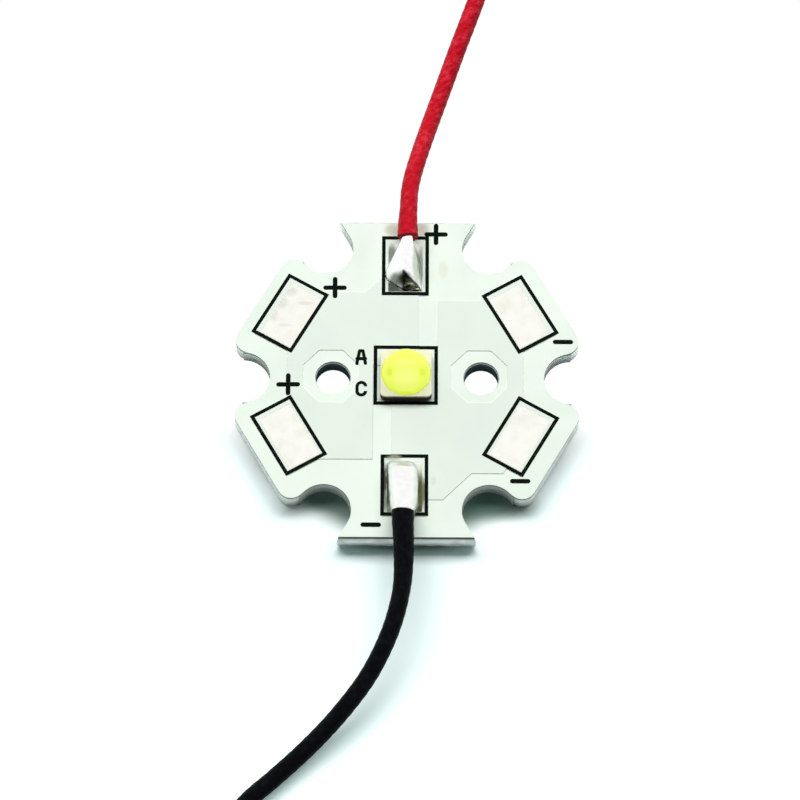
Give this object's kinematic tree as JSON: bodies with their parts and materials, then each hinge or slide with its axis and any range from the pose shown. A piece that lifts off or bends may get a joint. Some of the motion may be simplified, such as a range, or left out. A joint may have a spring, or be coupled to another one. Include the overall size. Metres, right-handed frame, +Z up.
{
  "type": "star pcb power led",
  "caption": "Domed white power LED on a star-shaped aluminium core board with edge notches for screws, solder pads and a soldered red and black lead.",
  "frame": {"origin": "middle of the plate's underside", "axes": "+Z up out of the board through the dome, +Y along the plate towards the positive lead, +X to the right"},
  "size_m": [0.021, 0.083, 0.0031],
  "materials": {
    "aluminium_core": "satin",
    "dielectric": "matte",
    "copper": "satin",
    "white_mask": "satin",
    "legend_ink": "matte",
    "tin": "satin",
    "solder": "gloss",
    "ceramic": "matte",
    "chip": "satin",
    "silicon": "satin",
    "gold": "gloss",
    "phosphor": "matte",
    "silicone_lens": "gloss",
    "tinned_strands": "satin",
    "red_insulation": "satin",
    "black_insulation": "satin",
    "tie": "matte"
  },
  "bodies": {
    "root": {"base_plate": "aluminium_core", "dielectric_layer": "dielectric", "anode_copper": "copper", "cathode_copper": "copper", "thermal_copper": "copper", "solder_mask": "white_mask", "printed_legend": "legend_ink", "back_pad": "tin", "back_left_pad": "tin", "front_left_pad": "tin", "front_pad": "tin", "front_right_pad": "tin", "back_right_pad": "tin", "led_anode_solder": "solder", "led_cathode_solder": "solder", "led_thermal_solder": "solder", "led_ceramic": "ceramic", "led_chip": "chip", "protection_diode": "silicon", "bond_wires": "gold", "phosphor_layer": "phosphor", "led_lens": "silicone_lens", "positive_solder_joint": "solder", "negative_solder_joint": "solder", "positive_strands": "tinned_strands", "negative_strands": "tinned_strands", "red_wire": "red_insulation", "red_coil": "red_insulation", "red_coil_tie": "tie", "red_wire_tip": "tinned_strands", "black_wire": "black_insulation", "black_coil": "black_insulation", "black_coil_tie": "tie", "black_wire_tip": "tinned_strands"}
  },
  "joints": []
}
